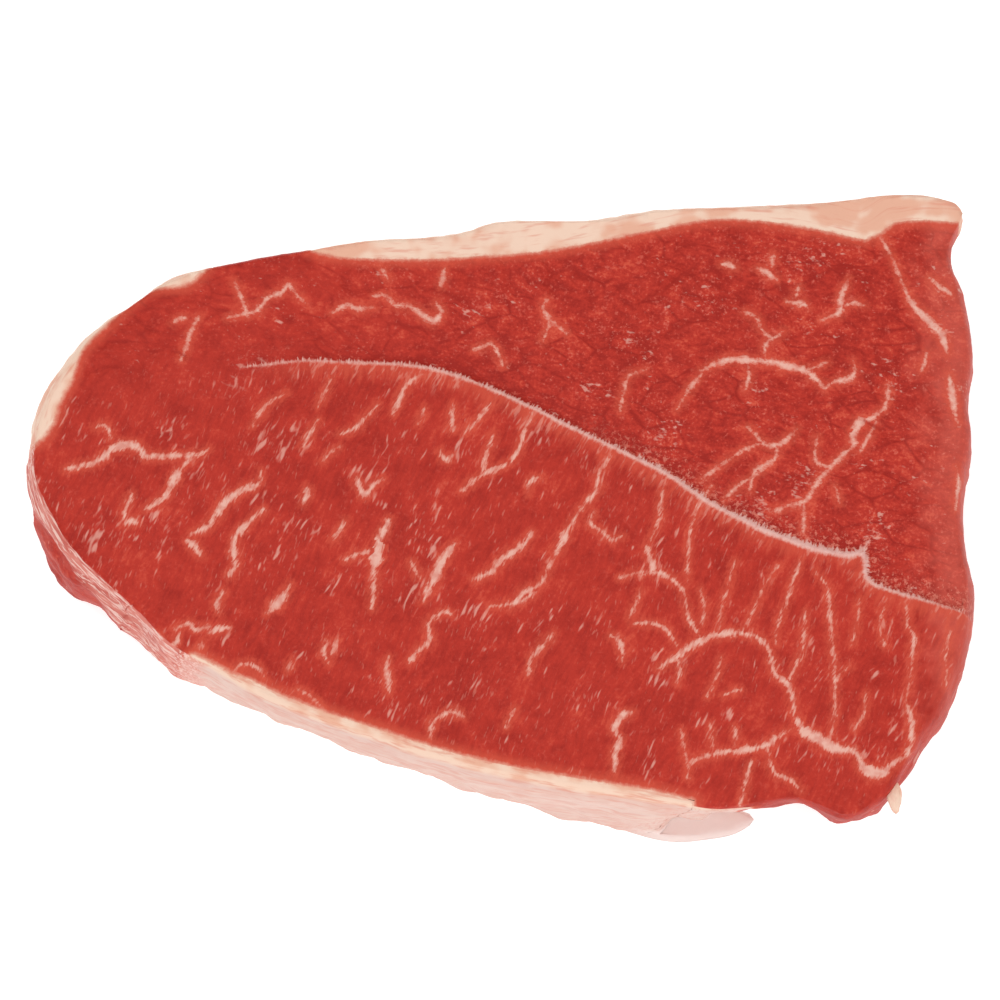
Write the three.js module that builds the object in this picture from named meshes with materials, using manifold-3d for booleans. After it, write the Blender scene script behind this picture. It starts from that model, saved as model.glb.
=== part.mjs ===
// A raw beef shoulder roast: one thick slice of boneless meat lying on its
// lower cut face. Lean meat fills most of it, and three layers of fat that run
// through the whole thickness lie along its back, its left end and its front.
//
// Millimetres, +Z up, +X towards the wide end, +Y towards the back fat.

import * as THREE from 'three';
import { mergeVertices } from 'three/addons/utils/BufferGeometryUtils.js';
import Module from 'manifold-3d';

const wasm = await Module();
wasm.setup();

// ---------------------------------------------------------------- sizes

const THICKNESS = 50; // the slice, from cut face to cut face
const GAP = 0.3; // left between lean and fat
const OUTLINE_STEPS = 190; // places round the edge
const FOOT_RADIUS = 1.6; // rounding where the side meets the table
const SIDE_BANDS = 9; // bands up the side, below the rolled edge
const ROLL_HEIGHT = 9; // the top of the side, where the bands get finer
const ROLL_BANDS = 5;
const DRAW_IN = 1.4; // how fast the side draws in below its widest line
const NORMAL_REACH = 7; // places averaged for the outward direction
const OVERSHOOT = 1; // how far cutting shapes run past the faces they cut
const FINEST = 0.01; // detail smaller than this is merged away

// Uneven meat: gentle waves along the side, a long one and a short one.
const WAVE_HEIGHT = 0.55;
const LONG_WAVE = 34;
const LONG_WAVE_LEAN = 9; // millimetres of height that shift it by one radian
const SHORT_WAVE = 14.5;
const SHORT_WAVE_LEAN = -6;
const WAVE_FADE = 10; // it fades this far below the widest line

// At the left of the front, membrane overhangs a crevice above a lobe of lean.
const CREVICE_FROM = new THREE.Vector2(-123, -9);
const CREVICE_TO = new THREE.Vector2(-103, -29);
const CREVICE_HEIGHT = 35;
const CREVICE_DEPTH = 4;
const CREVICE_HALF_WIDTH = 4.5;
const CREVICE_REACH = 9; // how far past its ends it fades

// The edge of the upper cut face, clockwise from the left end. Each row holds
// the place x, y, then how far the side swells out past it, how deep below the
// cut face that widest line lies, and how far out (or in, below 0) the foot is.
const EDGE = [
	[-129.6, 16, 3, 14, 0], [-127.2, 27.5, 4, 16, 1], [-120.8, 38.4, 4.5, 18, 1], [-112, 49.2, 3, 14, 0],
	[-102, 57.4, 1.5, 8, -1], [-91, 64.3, 2, 8, -2], [-76, 68, 1.5, 6, -2], [-56, 71.8, 1.5, 6, -3],
	[-36, 75.2, 1.5, 6, -3], [-14, 76.4, 1.5, 6, -3], [0, 80.4, 1.5, 6, -3], [27, 81, 1.5, 6, -3],
	[45, 84, 1.5, 6, -3], [68, 84.9, 1.5, 6, -3], [90, 85.8, 1.5, 6, -4], [110, 88.6, 1, 6, -4],
	[122, 88.2, 1, 6, -5], [130.6, 84.6, 1, 5, -7], [128.4, 78.6, 1, 5, -6], [125.4, 72, 1.5, 6, -4],
	[128.6, 60, 2.5, 8, -2], [131, 45, 2.5, 8, -2], [129.4, 29, 2.5, 9, -1], [130, 17, 3, 9, 0],
	[127.2, 3, 3, 9, 0], [127.4, -9, 3, 9, 0], [129.2, -24, 3.5, 10, 0], [127.5, -40, 4, 11, -1],
	[122.3, -55.3, 4, 12, -2], [114.5, -68.5, 3.5, 12, -4], [107.5, -81, 2.5, 8, -7], [97, -90, 1, 5, -11],
	[90, -87.4, 0.6, 4, -12], [82, -84.7, 0.6, 4, -13], [74, -85.7, 0.6, 4, -13], [62, -87.4, 0.8, 4, -12],
	[53, -86.6, 1.2, 6, -6], [40, -84.2, 2.5, 10, 1.5], [20, -81, 3, 12, 0], [-8, -75.2, 3, 12, -2.6],
	[-35, -66.8, 3, 12, -4], [-62, -57, 2.5, 12, -6], [-80, -47, 2.5, 12, -2.5], [-92, -40.5, 2.5, 14, -1],
	[-99.5, -32.5, 2.5, 20, -1], [-110, -22.5, 3.5, 28, 0.5], [-119, -13.5, 5, 30, 4], [-125.5, -2, 5.5, 26, 4],
	[-129.8, 7, 3.5, 18, 1.5],
];

// Lean and fat meet along these lines, which start and end past the edge.
const BACK_FAT_LINE = [
	[-60, 76], [-50, 71.9], [-25, 70.3], [-5, 71.3], [15, 73.2], [40, 78.3], [59, 82], [73, 81.6],
	[90, 79], [105, 76.2], [109.5, 80.4], [121, 81.8], [136, 80],
];
const LEFT_FAT_LINE = [
	[-79, 71], [-86, 62.8], [-98, 57.6], [-106, 50.6], [-114.5, 41.6], [-122, 29.5], [-126, 19], [-136, 11],
];
const FRONT_FAT_LINE = [
	[-112, -36], [-101, -29.5], [-96.5, -35.5], [-91, -39.8], [-79.2, -46.2], [-61.5, -56], [-34.6, -65.8],
	[-7.7, -74.2], [20.3, -79.8], [40, -83], [52, -85.8], [64, -88],
];
const FRONT_FAT_END = 54; // where the front fat's cut end meets the upper face
const FRONT_FAT_CUT_SLOPE = 13; // how far that end leans back at its foot
const FAT_LINE_STEPS = 40;
const FAT_REACH = 30; // how wide the prisms that cut the fat off are
const PAST_EVERYTHING = 200; // farther out than any part of the slice

// Which way each layer lies from the lean, and how far it tucks in at the table.
const BACKWARDS = new THREE.Vector2(0, 1);
const LEFTWARDS = new THREE.Vector2(-0.8, 0.6);
const FORWARDS = new THREE.Vector2(-0.3, -0.95);
const BACK_FAT_TUCK = 4;
const LEFT_FAT_TUCK = 3;
const FRONT_FAT_TUCK = 7.5;

// The two muscles meet along this seam. The lower one stands proud of the other.
const SEAM = [
	[-78, 38], [-60, 39.6], [-30, 39.7], [-8, 34.6], [20, 23.3], [46, 10.2], [61, -1], [73, -7.8], [86, -13],
	[101, -16.6], [104, -23.4], [113, -27], [122, -30],
];
const SEAM_DEPTH = 1.5; // the step at the seam
const SEAM_WIDTH = 18; // the dip that runs down to it
const SEAM_RISE = 0.22; // the part of its length over which the step grows
const SEAM_FALL = 0.1; // and the part over which it ends
const SEAM_STEPS = 32;
const DIP_CLEARANCE = 0.05; // the dip's far edge and its ends lie this far above the face

// A thin flap of membrane lies on the table in front of the fat's cut end.
const FLAP_OUTLINE = [
	[32, -79], [46, -77.6], [60, -78.2], [70, -78.8], [72, -81], [67, -84.9], [58, -86.8], [49, -87.4],
	[40, -85.6], [33, -82.6],
];
const FLAP_STEPS = 40;
const FLAP_THICKNESS = 2.2;
const FLAP_RIM = 0.9; // the height of its upright rim
const FLAP_EDGE = 1.4; // how far in from the rim its top lies

const LEAN_COLOUR = '#b8372c';
const FAT_COLOUR = '#eec4aa';
const FAT_ROUGHNESS = 0.5;
const LEAN_ROUGHNESS = 0.45;

// ---------------------------------------------------------------- geometry helpers

// Points at even steps along a smooth curve through the given places.
function smoothLine(places, steps, closed = false) {
	const points = places.map(([x, y]) => new THREE.Vector3(x, y, 0));
	const curve = new THREE.CatmullRomCurve3(points, closed, 'centripetal');
	const line = curve.getSpacedPoints(steps);
	return closed ? line.slice(0, steps) : line;
}

// A closed solid from rings of points, bottom ring first, each running
// anticlockwise seen from above. Both ends are flat caps.
function ringSolid(rings) {
	const count = rings[0].length;
	const positions = rings.flat().flatMap((point) => [point.x, point.y, point.z]);
	const index = [];
	for (let level = 0; level < rings.length - 1; level++) {
		for (let place = 0; place < count; place++) {
			const next = (place + 1) % count;
			const [a, b] = [level * count + place, level * count + next];
			index.push(a, b, b + count, a, b + count, a + count);
		}
	}
	const top = (rings.length - 1) * count;
	const cap = (ring) => THREE.ShapeUtils.triangulateShape(ring, []);
	for (const [a, b, c] of cap(rings[0])) index.push(a, c, b);
	for (const [a, b, c] of cap(rings.at(-1))) index.push(top + a, top + b, top + c);
	const geometry = new THREE.BufferGeometry();
	geometry.setAttribute('position', new THREE.Float32BufferAttribute(positions, 3));
	geometry.setIndex(index);
	return solidFrom(geometry);
}

function solidFrom(geometry) {
	const merged = mergeVertices(geometry, 1e-5);
	const vertProperties = Float32Array.from(merged.attributes.position.array);
	const triVerts = Uint32Array.from(merged.index.array);
	return new wasm.Manifold(new wasm.Mesh({ numProp: 3, vertProperties, triVerts }));
}

function meshFrom(name, solid, material) {
	const { vertProperties, triVerts } = solid.simplify(FINEST).getMesh();
	const geometry = new THREE.BufferGeometry();
	geometry.setAttribute('position', new THREE.BufferAttribute(vertProperties, 3));
	geometry.setIndex(new THREE.BufferAttribute(triVerts, 1));
	geometry.computeVertexNormals();
	const mesh = new THREE.Mesh(geometry, material);
	mesh.name = name;
	return mesh;
}

// ---------------------------------------------------------------- the slice

// The rows' swell, depth and foot at a place: their mean, the nearest counting most.
function blendedRow(point) {
	const sums = [0, 0, 0];
	let weights = 0;
	for (const [x, y, ...values] of EDGE) {
		const weight = 1 / (1 + point.distanceToSquared(new THREE.Vector3(x, y, 0)) ** 2);
		values.forEach((value, column) => { sums[column] += value * weight; });
		weights += weight;
	}
	return sums.map((sum) => sum / weights);
}

// The places round the edge, each with its outward direction and its own sizes.
function edgeStations() {
	const line = smoothLine(EDGE, OUTLINE_STEPS, true);
	const at = (place) => line[(place + line.length) % line.length];
	const spacing = line[0].distanceTo(line[1]);
	return line.map((point, place) => {
		const chord = at(place + NORMAL_REACH).clone().sub(at(place - NORMAL_REACH));
		const outward = new THREE.Vector3(-chord.y, chord.x, 0).normalize();
		const [swell, depth, foot] = blendedRow(point);
		return { point, outward, swell, depth, foot, along: place * spacing };
	});
}

// How deep the crevice cuts at a place and height.
function crevice(point, height) {
	const across = CREVICE_TO.clone().sub(CREVICE_FROM);
	const from = new THREE.Vector2(point.x, point.y).sub(CREVICE_FROM);
	const share = THREE.MathUtils.clamp(from.dot(across) / across.lengthSq(), 0, 1);
	const past = from.addScaledVector(across, -share).length();
	const nearness = Math.exp(-((past / CREVICE_REACH) ** 2));
	return CREVICE_DEPTH * nearness * Math.exp(-(((height - CREVICE_HEIGHT) / CREVICE_HALF_WIDTH) ** 2));
}

// How far out from the edge the side lies at a height.
function sideOffset({ point, swell, depth, foot, along }, height) {
	const widest = THICKNESS - depth;
	if (height >= widest) {
		const rolled = (height - widest) / depth;
		return swell * Math.sqrt(Math.max(1 - rolled ** 2, 0)) - crevice(point, height);
	}
	const drawn = (1 - (height - FOOT_RADIUS) / (widest - FOOT_RADIUS)) ** DRAW_IN;
	const wave = Math.sin((2 * Math.PI * along) / LONG_WAVE + height / LONG_WAVE_LEAN)
		+ Math.sin((2 * Math.PI * along) / SHORT_WAVE + height / SHORT_WAVE_LEAN);
	const waveShare = THREE.MathUtils.smoothstep(widest - height, 0, WAVE_FADE);
	return swell - (swell - foot) * drawn + WAVE_HEIGHT * waveShare * wave - crevice(point, height);
}

function sliceSolid() {
	const stations = edgeStations();
	const ring = (height, inset = 0) => stations
		.map((station) => {
			const out = sideOffset(station, Math.max(height, FOOT_RADIUS)) - inset;
			return station.point.clone().addScaledVector(station.outward, out).setZ(height);
		})
		.reverse(); // the stations run clockwise
	const rollStart = THICKNESS - ROLL_HEIGHT;
	const rings = [ring(0, FOOT_RADIUS)];
	for (let band = 0; band < SIDE_BANDS; band++) {
		rings.push(ring(FOOT_RADIUS + ((rollStart - FOOT_RADIUS) * band) / SIDE_BANDS));
	}
	for (let band = 0; band <= ROLL_BANDS; band++) {
		rings.push(ring(rollStart + ROLL_HEIGHT * Math.sin((band / ROLL_BANDS) * (Math.PI / 2))));
	}
	return ringSolid(rings);
}

// What is taken away so that the upper muscle dips down to the seam: a row of
// wedges, deepest on the seam and running out on the face a short way behind it.
function seamDip() {
	const seam = smoothLine(SEAM, SEAM_STEPS);
	const sections = seam.map((point, place) => {
		const along = place / SEAM_STEPS;
		const depth = (SEAM_DEPTH + DIP_CLEARANCE) * THREE.MathUtils.smoothstep(along, 0, SEAM_RISE)
			* THREE.MathUtils.smoothstep(1 - along, 0, SEAM_FALL);
		const before = seam[Math.max(place - 1, 0)];
		const after = seam[Math.min(place + 1, SEAM_STEPS)];
		const behind = new THREE.Vector3(before.y - after.y, after.x - before.x, 0).normalize();
		const far = point.clone().addScaledVector(behind, SEAM_WIDTH);
		const edge = THICKNESS + DIP_CLEARANCE;
		return [
			[point.x, point.y, edge - depth], [far.x, far.y, edge],
			[point.x, point.y, edge + OVERSHOOT], [far.x, far.y, edge + OVERSHOOT],
		];
	});
	return wasm.Manifold.union(sections
		.slice(1)
		.map((section, place) => wasm.Manifold.hull([...sections[place], ...section])));
}

// The region on the outer side of a line, from the table up: the line swept the
// `away` way. `inset` moves it towards the lean, and at the table it lies a
// further `tuck` in, as the side does.
function outerPrism(line, away, tuck, inset) {
	const border = smoothLine(line, FAT_LINE_STEPS);
	const ring = (height) => {
		const back = inset + tuck * (1 - height / THICKNESS);
		const inner = border.map(({ x, y }) => new THREE.Vector2(x, y).addScaledVector(away, -back));
		const outer = inner.map((point) => point.clone().addScaledVector(away, FAT_REACH));
		const loop = [...inner, ...outer.reverse()];
		if (THREE.ShapeUtils.area(loop) < 0) loop.reverse();
		return loop.map((point) => new THREE.Vector3(point.x, point.y, height));
	};
	return ringSolid([ring(-OVERSHOOT), ring(THICKNESS + OVERSHOOT)]);
}

// All that lies to the right of the front fat's leaning cut end.
function pastCutEnd(inset) {
	const far = PAST_EVERYTHING;
	const ring = (left, height) => [[left + inset, -far], [far, -far], [far, 0], [left + inset, 0]]
		.map(([x, y]) => new THREE.Vector3(x, y, height));
	return ringSolid([
		ring(FRONT_FAT_END - FRONT_FAT_CUT_SLOPE, -OVERSHOOT), ring(FRONT_FAT_END, THICKNESS + OVERSHOOT),
	]);
}

// Where one layer of fat lies, `inset` larger on the lean's side.
function fatRegion({ line, away, tuck, cutEnd }, inset) {
	const region = outerPrism(line, away, tuck, inset);
	return cutEnd ? region.subtract(pastCutEnd(inset)) : region;
}

// The flap, `grow` larger all round.
function flapSolid(grow = 0) {
	const outline = smoothLine(FLAP_OUTLINE, FLAP_STEPS, true);
	const middle = outline
		.reduce((sum, point) => sum.add(point), new THREE.Vector3())
		.divideScalar(outline.length);
	const ring = (inset, height) => outline
		.map((point) => {
			const inward = middle.clone().sub(point).normalize();
			return point.clone().addScaledVector(inward, inset - grow).setZ(height);
		})
		.reverse(); // the outline runs clockwise
	return ringSolid([
		ring(0, -grow), ring(0, FLAP_RIM), ring(FLAP_EDGE, FLAP_THICKNESS + grow),
	]);
}

// ---------------------------------------------------------------- the roast

const slice = sliceSolid().subtract(seamDip());
const fatLayers = [
	{ name: 'back_fat', line: BACK_FAT_LINE, away: BACKWARDS, tuck: BACK_FAT_TUCK },
	{ name: 'left_fat', line: LEFT_FAT_LINE, away: LEFTWARDS, tuck: LEFT_FAT_TUCK },
	{
		name: 'front_fat', line: FRONT_FAT_LINE, away: FORWARDS, tuck: FRONT_FAT_TUCK,
		cutEnd: true, flap: true,
	},
];
const leanMaterial = new THREE.MeshStandardMaterial({
	color: LEAN_COLOUR, roughness: LEAN_ROUGHNESS, metalness: 0,
});
const fatMaterial = new THREE.MeshStandardMaterial({
	color: FAT_COLOUR, roughness: FAT_ROUGHNESS, metalness: 0,
});

const roast = new THREE.Group();
const lean = fatLayers
	.reduce((meat, layer) => meat.subtract(fatRegion(layer, GAP)), slice)
	.subtract(flapSolid(GAP));
roast.add(meshFrom('lean_meat', lean, leanMaterial));
for (const layer of fatLayers) {
	const fat = slice.intersect(fatRegion(layer, 0));
	roast.add(meshFrom(layer.name, layer.flap ? fat.add(flapSolid()) : fat, fatMaterial));
}

// The part's origin is under the middle of its box.
const middle = new THREE.Box3().setFromObject(roast).getCenter(new THREE.Vector3());
roast.position.set(-middle.x, -middle.y, 0);
roast.updateMatrixWorld(true);

export default roast;
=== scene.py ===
# %% [markdown]
# # A raw beef shoulder roast
#
# The object is one thick slice of raw beef: a flat cut face of red lean, marbled
# with thin pale veins and crossed by a whitish seam where two muscles meet, with
# layers of cream fat along the back, the left end and the front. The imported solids
# give the true size and outline. This file turns them into meat: it refines each
# solid into a fine mesh, gives that mesh its relief, and paints it with a material
# that reads how far each place lies from the seam, the veins and the fat.

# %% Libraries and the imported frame
import math

import bmesh
import bpy
import numpy as np
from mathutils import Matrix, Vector, noise
from mathutils.bvhtree import BVHTree
from mathutils.kdtree import KDTree


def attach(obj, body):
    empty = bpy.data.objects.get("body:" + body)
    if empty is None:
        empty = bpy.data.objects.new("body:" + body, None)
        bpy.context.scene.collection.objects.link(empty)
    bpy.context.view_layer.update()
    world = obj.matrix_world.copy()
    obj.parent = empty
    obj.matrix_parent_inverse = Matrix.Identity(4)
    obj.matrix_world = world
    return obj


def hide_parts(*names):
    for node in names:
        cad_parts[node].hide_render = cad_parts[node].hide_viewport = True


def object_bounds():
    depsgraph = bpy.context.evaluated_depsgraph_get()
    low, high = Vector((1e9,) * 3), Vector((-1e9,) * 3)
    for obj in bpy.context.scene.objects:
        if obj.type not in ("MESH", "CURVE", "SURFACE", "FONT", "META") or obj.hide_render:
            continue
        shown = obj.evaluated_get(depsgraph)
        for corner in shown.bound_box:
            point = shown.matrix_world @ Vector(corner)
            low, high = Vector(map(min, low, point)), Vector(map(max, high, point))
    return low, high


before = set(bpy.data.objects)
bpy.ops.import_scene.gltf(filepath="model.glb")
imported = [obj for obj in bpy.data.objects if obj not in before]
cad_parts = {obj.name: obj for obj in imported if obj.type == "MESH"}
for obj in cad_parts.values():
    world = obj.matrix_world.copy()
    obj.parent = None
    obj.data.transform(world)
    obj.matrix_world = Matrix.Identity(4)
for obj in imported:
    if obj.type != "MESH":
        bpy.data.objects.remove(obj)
cad_low, cad_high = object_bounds()
MM = 0.001  # Blender works in metres; the sizes below are given in millimetres
THICKNESS = cad_high.z / MM
ROUNDNESS = 1.45  # the roast is about this much longer than it is wide
print(f"the frame is {[round(side / MM, 1) for side in cad_high - cad_low]} mm")

# %% [markdown]
# ## The camera
#
# The cut face is seen from high in front, with hardly any perspective, so the
# camera is far away with a long lens. One picture element then covers a known
# length on the cut face, which lets the places of the marbling below be read
# straight off the picture, in a frame of 1000 by 1000.

# %% Camera
PICTURE = 1000
ELEVATION = math.radians(76)
LENS = 300.0
SENSOR = 36.0
MM_PER_PIXEL = 0.28
FOCAL_PIXELS = LENS / SENSOR * PICTURE
DISTANCE = FOCAL_PIXELS * MM_PER_PIXEL
FACE_CENTRE = Vector((0.1, 0.45))  # the place on the cut face that the camera looks at

camera = bpy.data.objects.new("camera", bpy.data.cameras.new("camera"))
bpy.context.scene.collection.objects.link(camera)
bpy.context.scene.camera = camera
camera.data.lens = LENS
camera.data.sensor_width = SENSOR
camera.data.clip_end = 20
aim = Vector((FACE_CENTRE.x, FACE_CENTRE.y, THICKNESS))
back = Vector((0, -math.cos(ELEVATION), math.sin(ELEVATION)))
camera.location = (aim + back * DISTANCE) * MM
camera.rotation_euler = (math.radians(90) - ELEVATION, 0, 0)


def on_face(column, row):
    """The place on the cut face, in millimetres, seen at a place in the picture."""
    slope = (PICTURE / 2 - row) / FOCAL_PIXELS
    y = slope * DISTANCE / (math.sin(ELEVATION) - slope * math.cos(ELEVATION))
    x = (column - PICTURE / 2) / FOCAL_PIXELS * (DISTANCE + y * math.cos(ELEVATION))
    return Vector((x + FACE_CENTRE.x, y + FACE_CENTRE.y, 0))


print(f"the camera is {DISTANCE / 1000:.2f} m away")

# %% [markdown]
# ## Lines drawn on the meat
#
# Veins of fat, the seam and the creases are all lines with a width. Each is a list
# of a few places that a smooth curve runs through. Nothing is painted yet: a line
# only knows how far a point is from its edge, and the mesh and the material are
# both made from that distance.

# %% A set of lines
STEP = 0.3  # millimetres between the samples along a line
TIP = 0.25  # how much of its width a line keeps at its ends
SWELLING = 2.2  # the length of the swellings along an uneven line


def smooth_through(places):
    """Samples along a centripetal curve through the places."""
    points = [places[0] * 2 - places[1], *places, places[-1] * 2 - places[-2]]
    samples = []
    for before, start, end, after in zip(points, points[1:], points[2:], points[3:]):
        count = max(2, int((end - start).length / STEP))
        pairs = ((before, start), (start, end), (end, after))
        lengths = [max((far - near).length, 1e-6) ** 0.5 for near, far in pairs]
        lead = (start - before) / lengths[0] - (end - before) / (lengths[0] + lengths[1])
        trail = (end - start) / lengths[1] - (after - start) / (lengths[1] + lengths[2])
        leave = (lead + (end - start) / lengths[1]) * lengths[1]
        arrive = (trail + (after - end) / lengths[2]) * lengths[1]
        for step in range(count):
            t = step / count
            samples.append(
                start * (2 * t**3 - 3 * t**2 + 1)
                + leave * (t**3 - 2 * t**2 + t)
                + end * (3 * t**2 - 2 * t**3)
                + arrive * (t**3 - t**2)
            )
    return [*samples, places[-1]]


class Lines:
    """Lines with widths, which answer how far any place is from their edge."""

    def __init__(self):
        self.samples, self.halves, self.ways = [], [], []
        self.tree = None

    def draw(self, places, width, taper=0.35, unevenness=0.0):
        """A line as wide as width, in millimetres, that thins towards its ends.

        A list of widths spreads evenly along the line."""
        line = smooth_through(places)
        widths = width if isinstance(width, list) else [width]
        stations = np.linspace(0, 1, len(widths))
        for number, sample in enumerate(line):
            share = number / max(len(line) - 1, 1)
            end = min(share, 1 - share) / taper if taper else 1
            fullness = TIP + (1 - TIP) * min(end, 1) ** 0.7
            fullness += unevenness * noise.noise(sample / SWELLING)
            ahead = line[min(number + 1, len(line) - 1)] - line[max(number - 1, 0)]
            self.samples.append(sample)
            self.halves.append(np.interp(share, stations, widths) / 2 * fullness)
            self.ways.append(ahead.normalized())

    def grow(self):
        """Sorts the samples, so that the nearest one is found fast."""
        self.tree = KDTree(len(self.samples))
        for number, sample in enumerate(self.samples):
            self.tree.insert((sample.x, sample.y, 0), number)
        self.tree.balance()

    def edge(self, x, y):
        """Millimetres from the line's edge: below 0 inside the line."""
        _, number, distance = self.tree.find((x, y, 0))
        return distance - self.halves[number]

    def along(self, x, y):
        """Millimetres from the first line's start to the place nearest to this one."""
        return self.tree.find((x, y, 0))[1] * STEP

    def side(self, x, y):
        """Millimetres from the line, above 0 on its left and below 0 on its right."""
        nearest, number, distance = self.tree.find((x, y, 0))
        way = self.ways[number]
        left = way.x * (y - nearest.y) - way.y * (x - nearest.x)
        return math.copysign(distance, left)


print(f"a line has a sample every {STEP} mm")

# %% [markdown]
# ## The seam and the creases
#
# The seam starts faintly in the left third, climbs over the middle and falls to the
# right edge, with one small jog. The lower muscle stands a little proud of the upper
# one along it. Left of its start the two muscles have grown together, so the line is
# carried on to the left end only to say which side a place is on.

# %% The seam
SEAM = [
    (248, 366), (262, 365), (300, 361), (350, 362), (397, 364), (430, 368), (452, 374), (480, 384),
    (508, 396), (536, 409), (560, 421), (590, 436), (612, 446), (640, 460), (672, 476), (694, 492),
    (717, 506), (739, 517), (761, 528), (784, 537), (806, 545), (828, 551), (848, 554), (862, 552),
]
SEAM_JOG = [
    (862, 552), (866, 560), (866, 574), (873, 583), (891, 590), (907, 595), (929, 601), (950, 608),
    (975, 616),
]
SEAM_SPUR = [(860, 554), (865, 546), (870, 539)]
GROWN_TOGETHER = [(20, 395), (90, 382), (170, 372), (248, 366)]
SEAM_WIDTHS = [0.4, 0.9, 1.2, 1.3, 1.5, 1.8, 2.3, 2.4]

seam = Lines()
seam.draw([on_face(*place) for place in SEAM], SEAM_WIDTHS, taper=0)
seam.draw([on_face(*place) for place in SEAM_JOG], [2.2, 1.5, 1.2, 0.8, 0.2], taper=0)
seam.draw([on_face(*place) for place in SEAM_SPUR], [1.6, 1.0, 0.3], taper=0)
seam.grow()
border = Lines()
border.draw([on_face(*place) for place in GROWN_TOGETHER + SEAM[1:] + SEAM_JOG[1:]], 1, taper=0)
border.grow()
print(f"the seam has {len(seam.samples)} samples")

# %% [markdown]
# ## The marbling
#
# Each vein is a few places in the picture and the vein's width in millimetres at
# its widest. The big ones are listed one by one, because anyone who knows this cut
# looks at them first. The thousands of fine flecks between them come later, from
# a pattern in the material.

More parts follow.
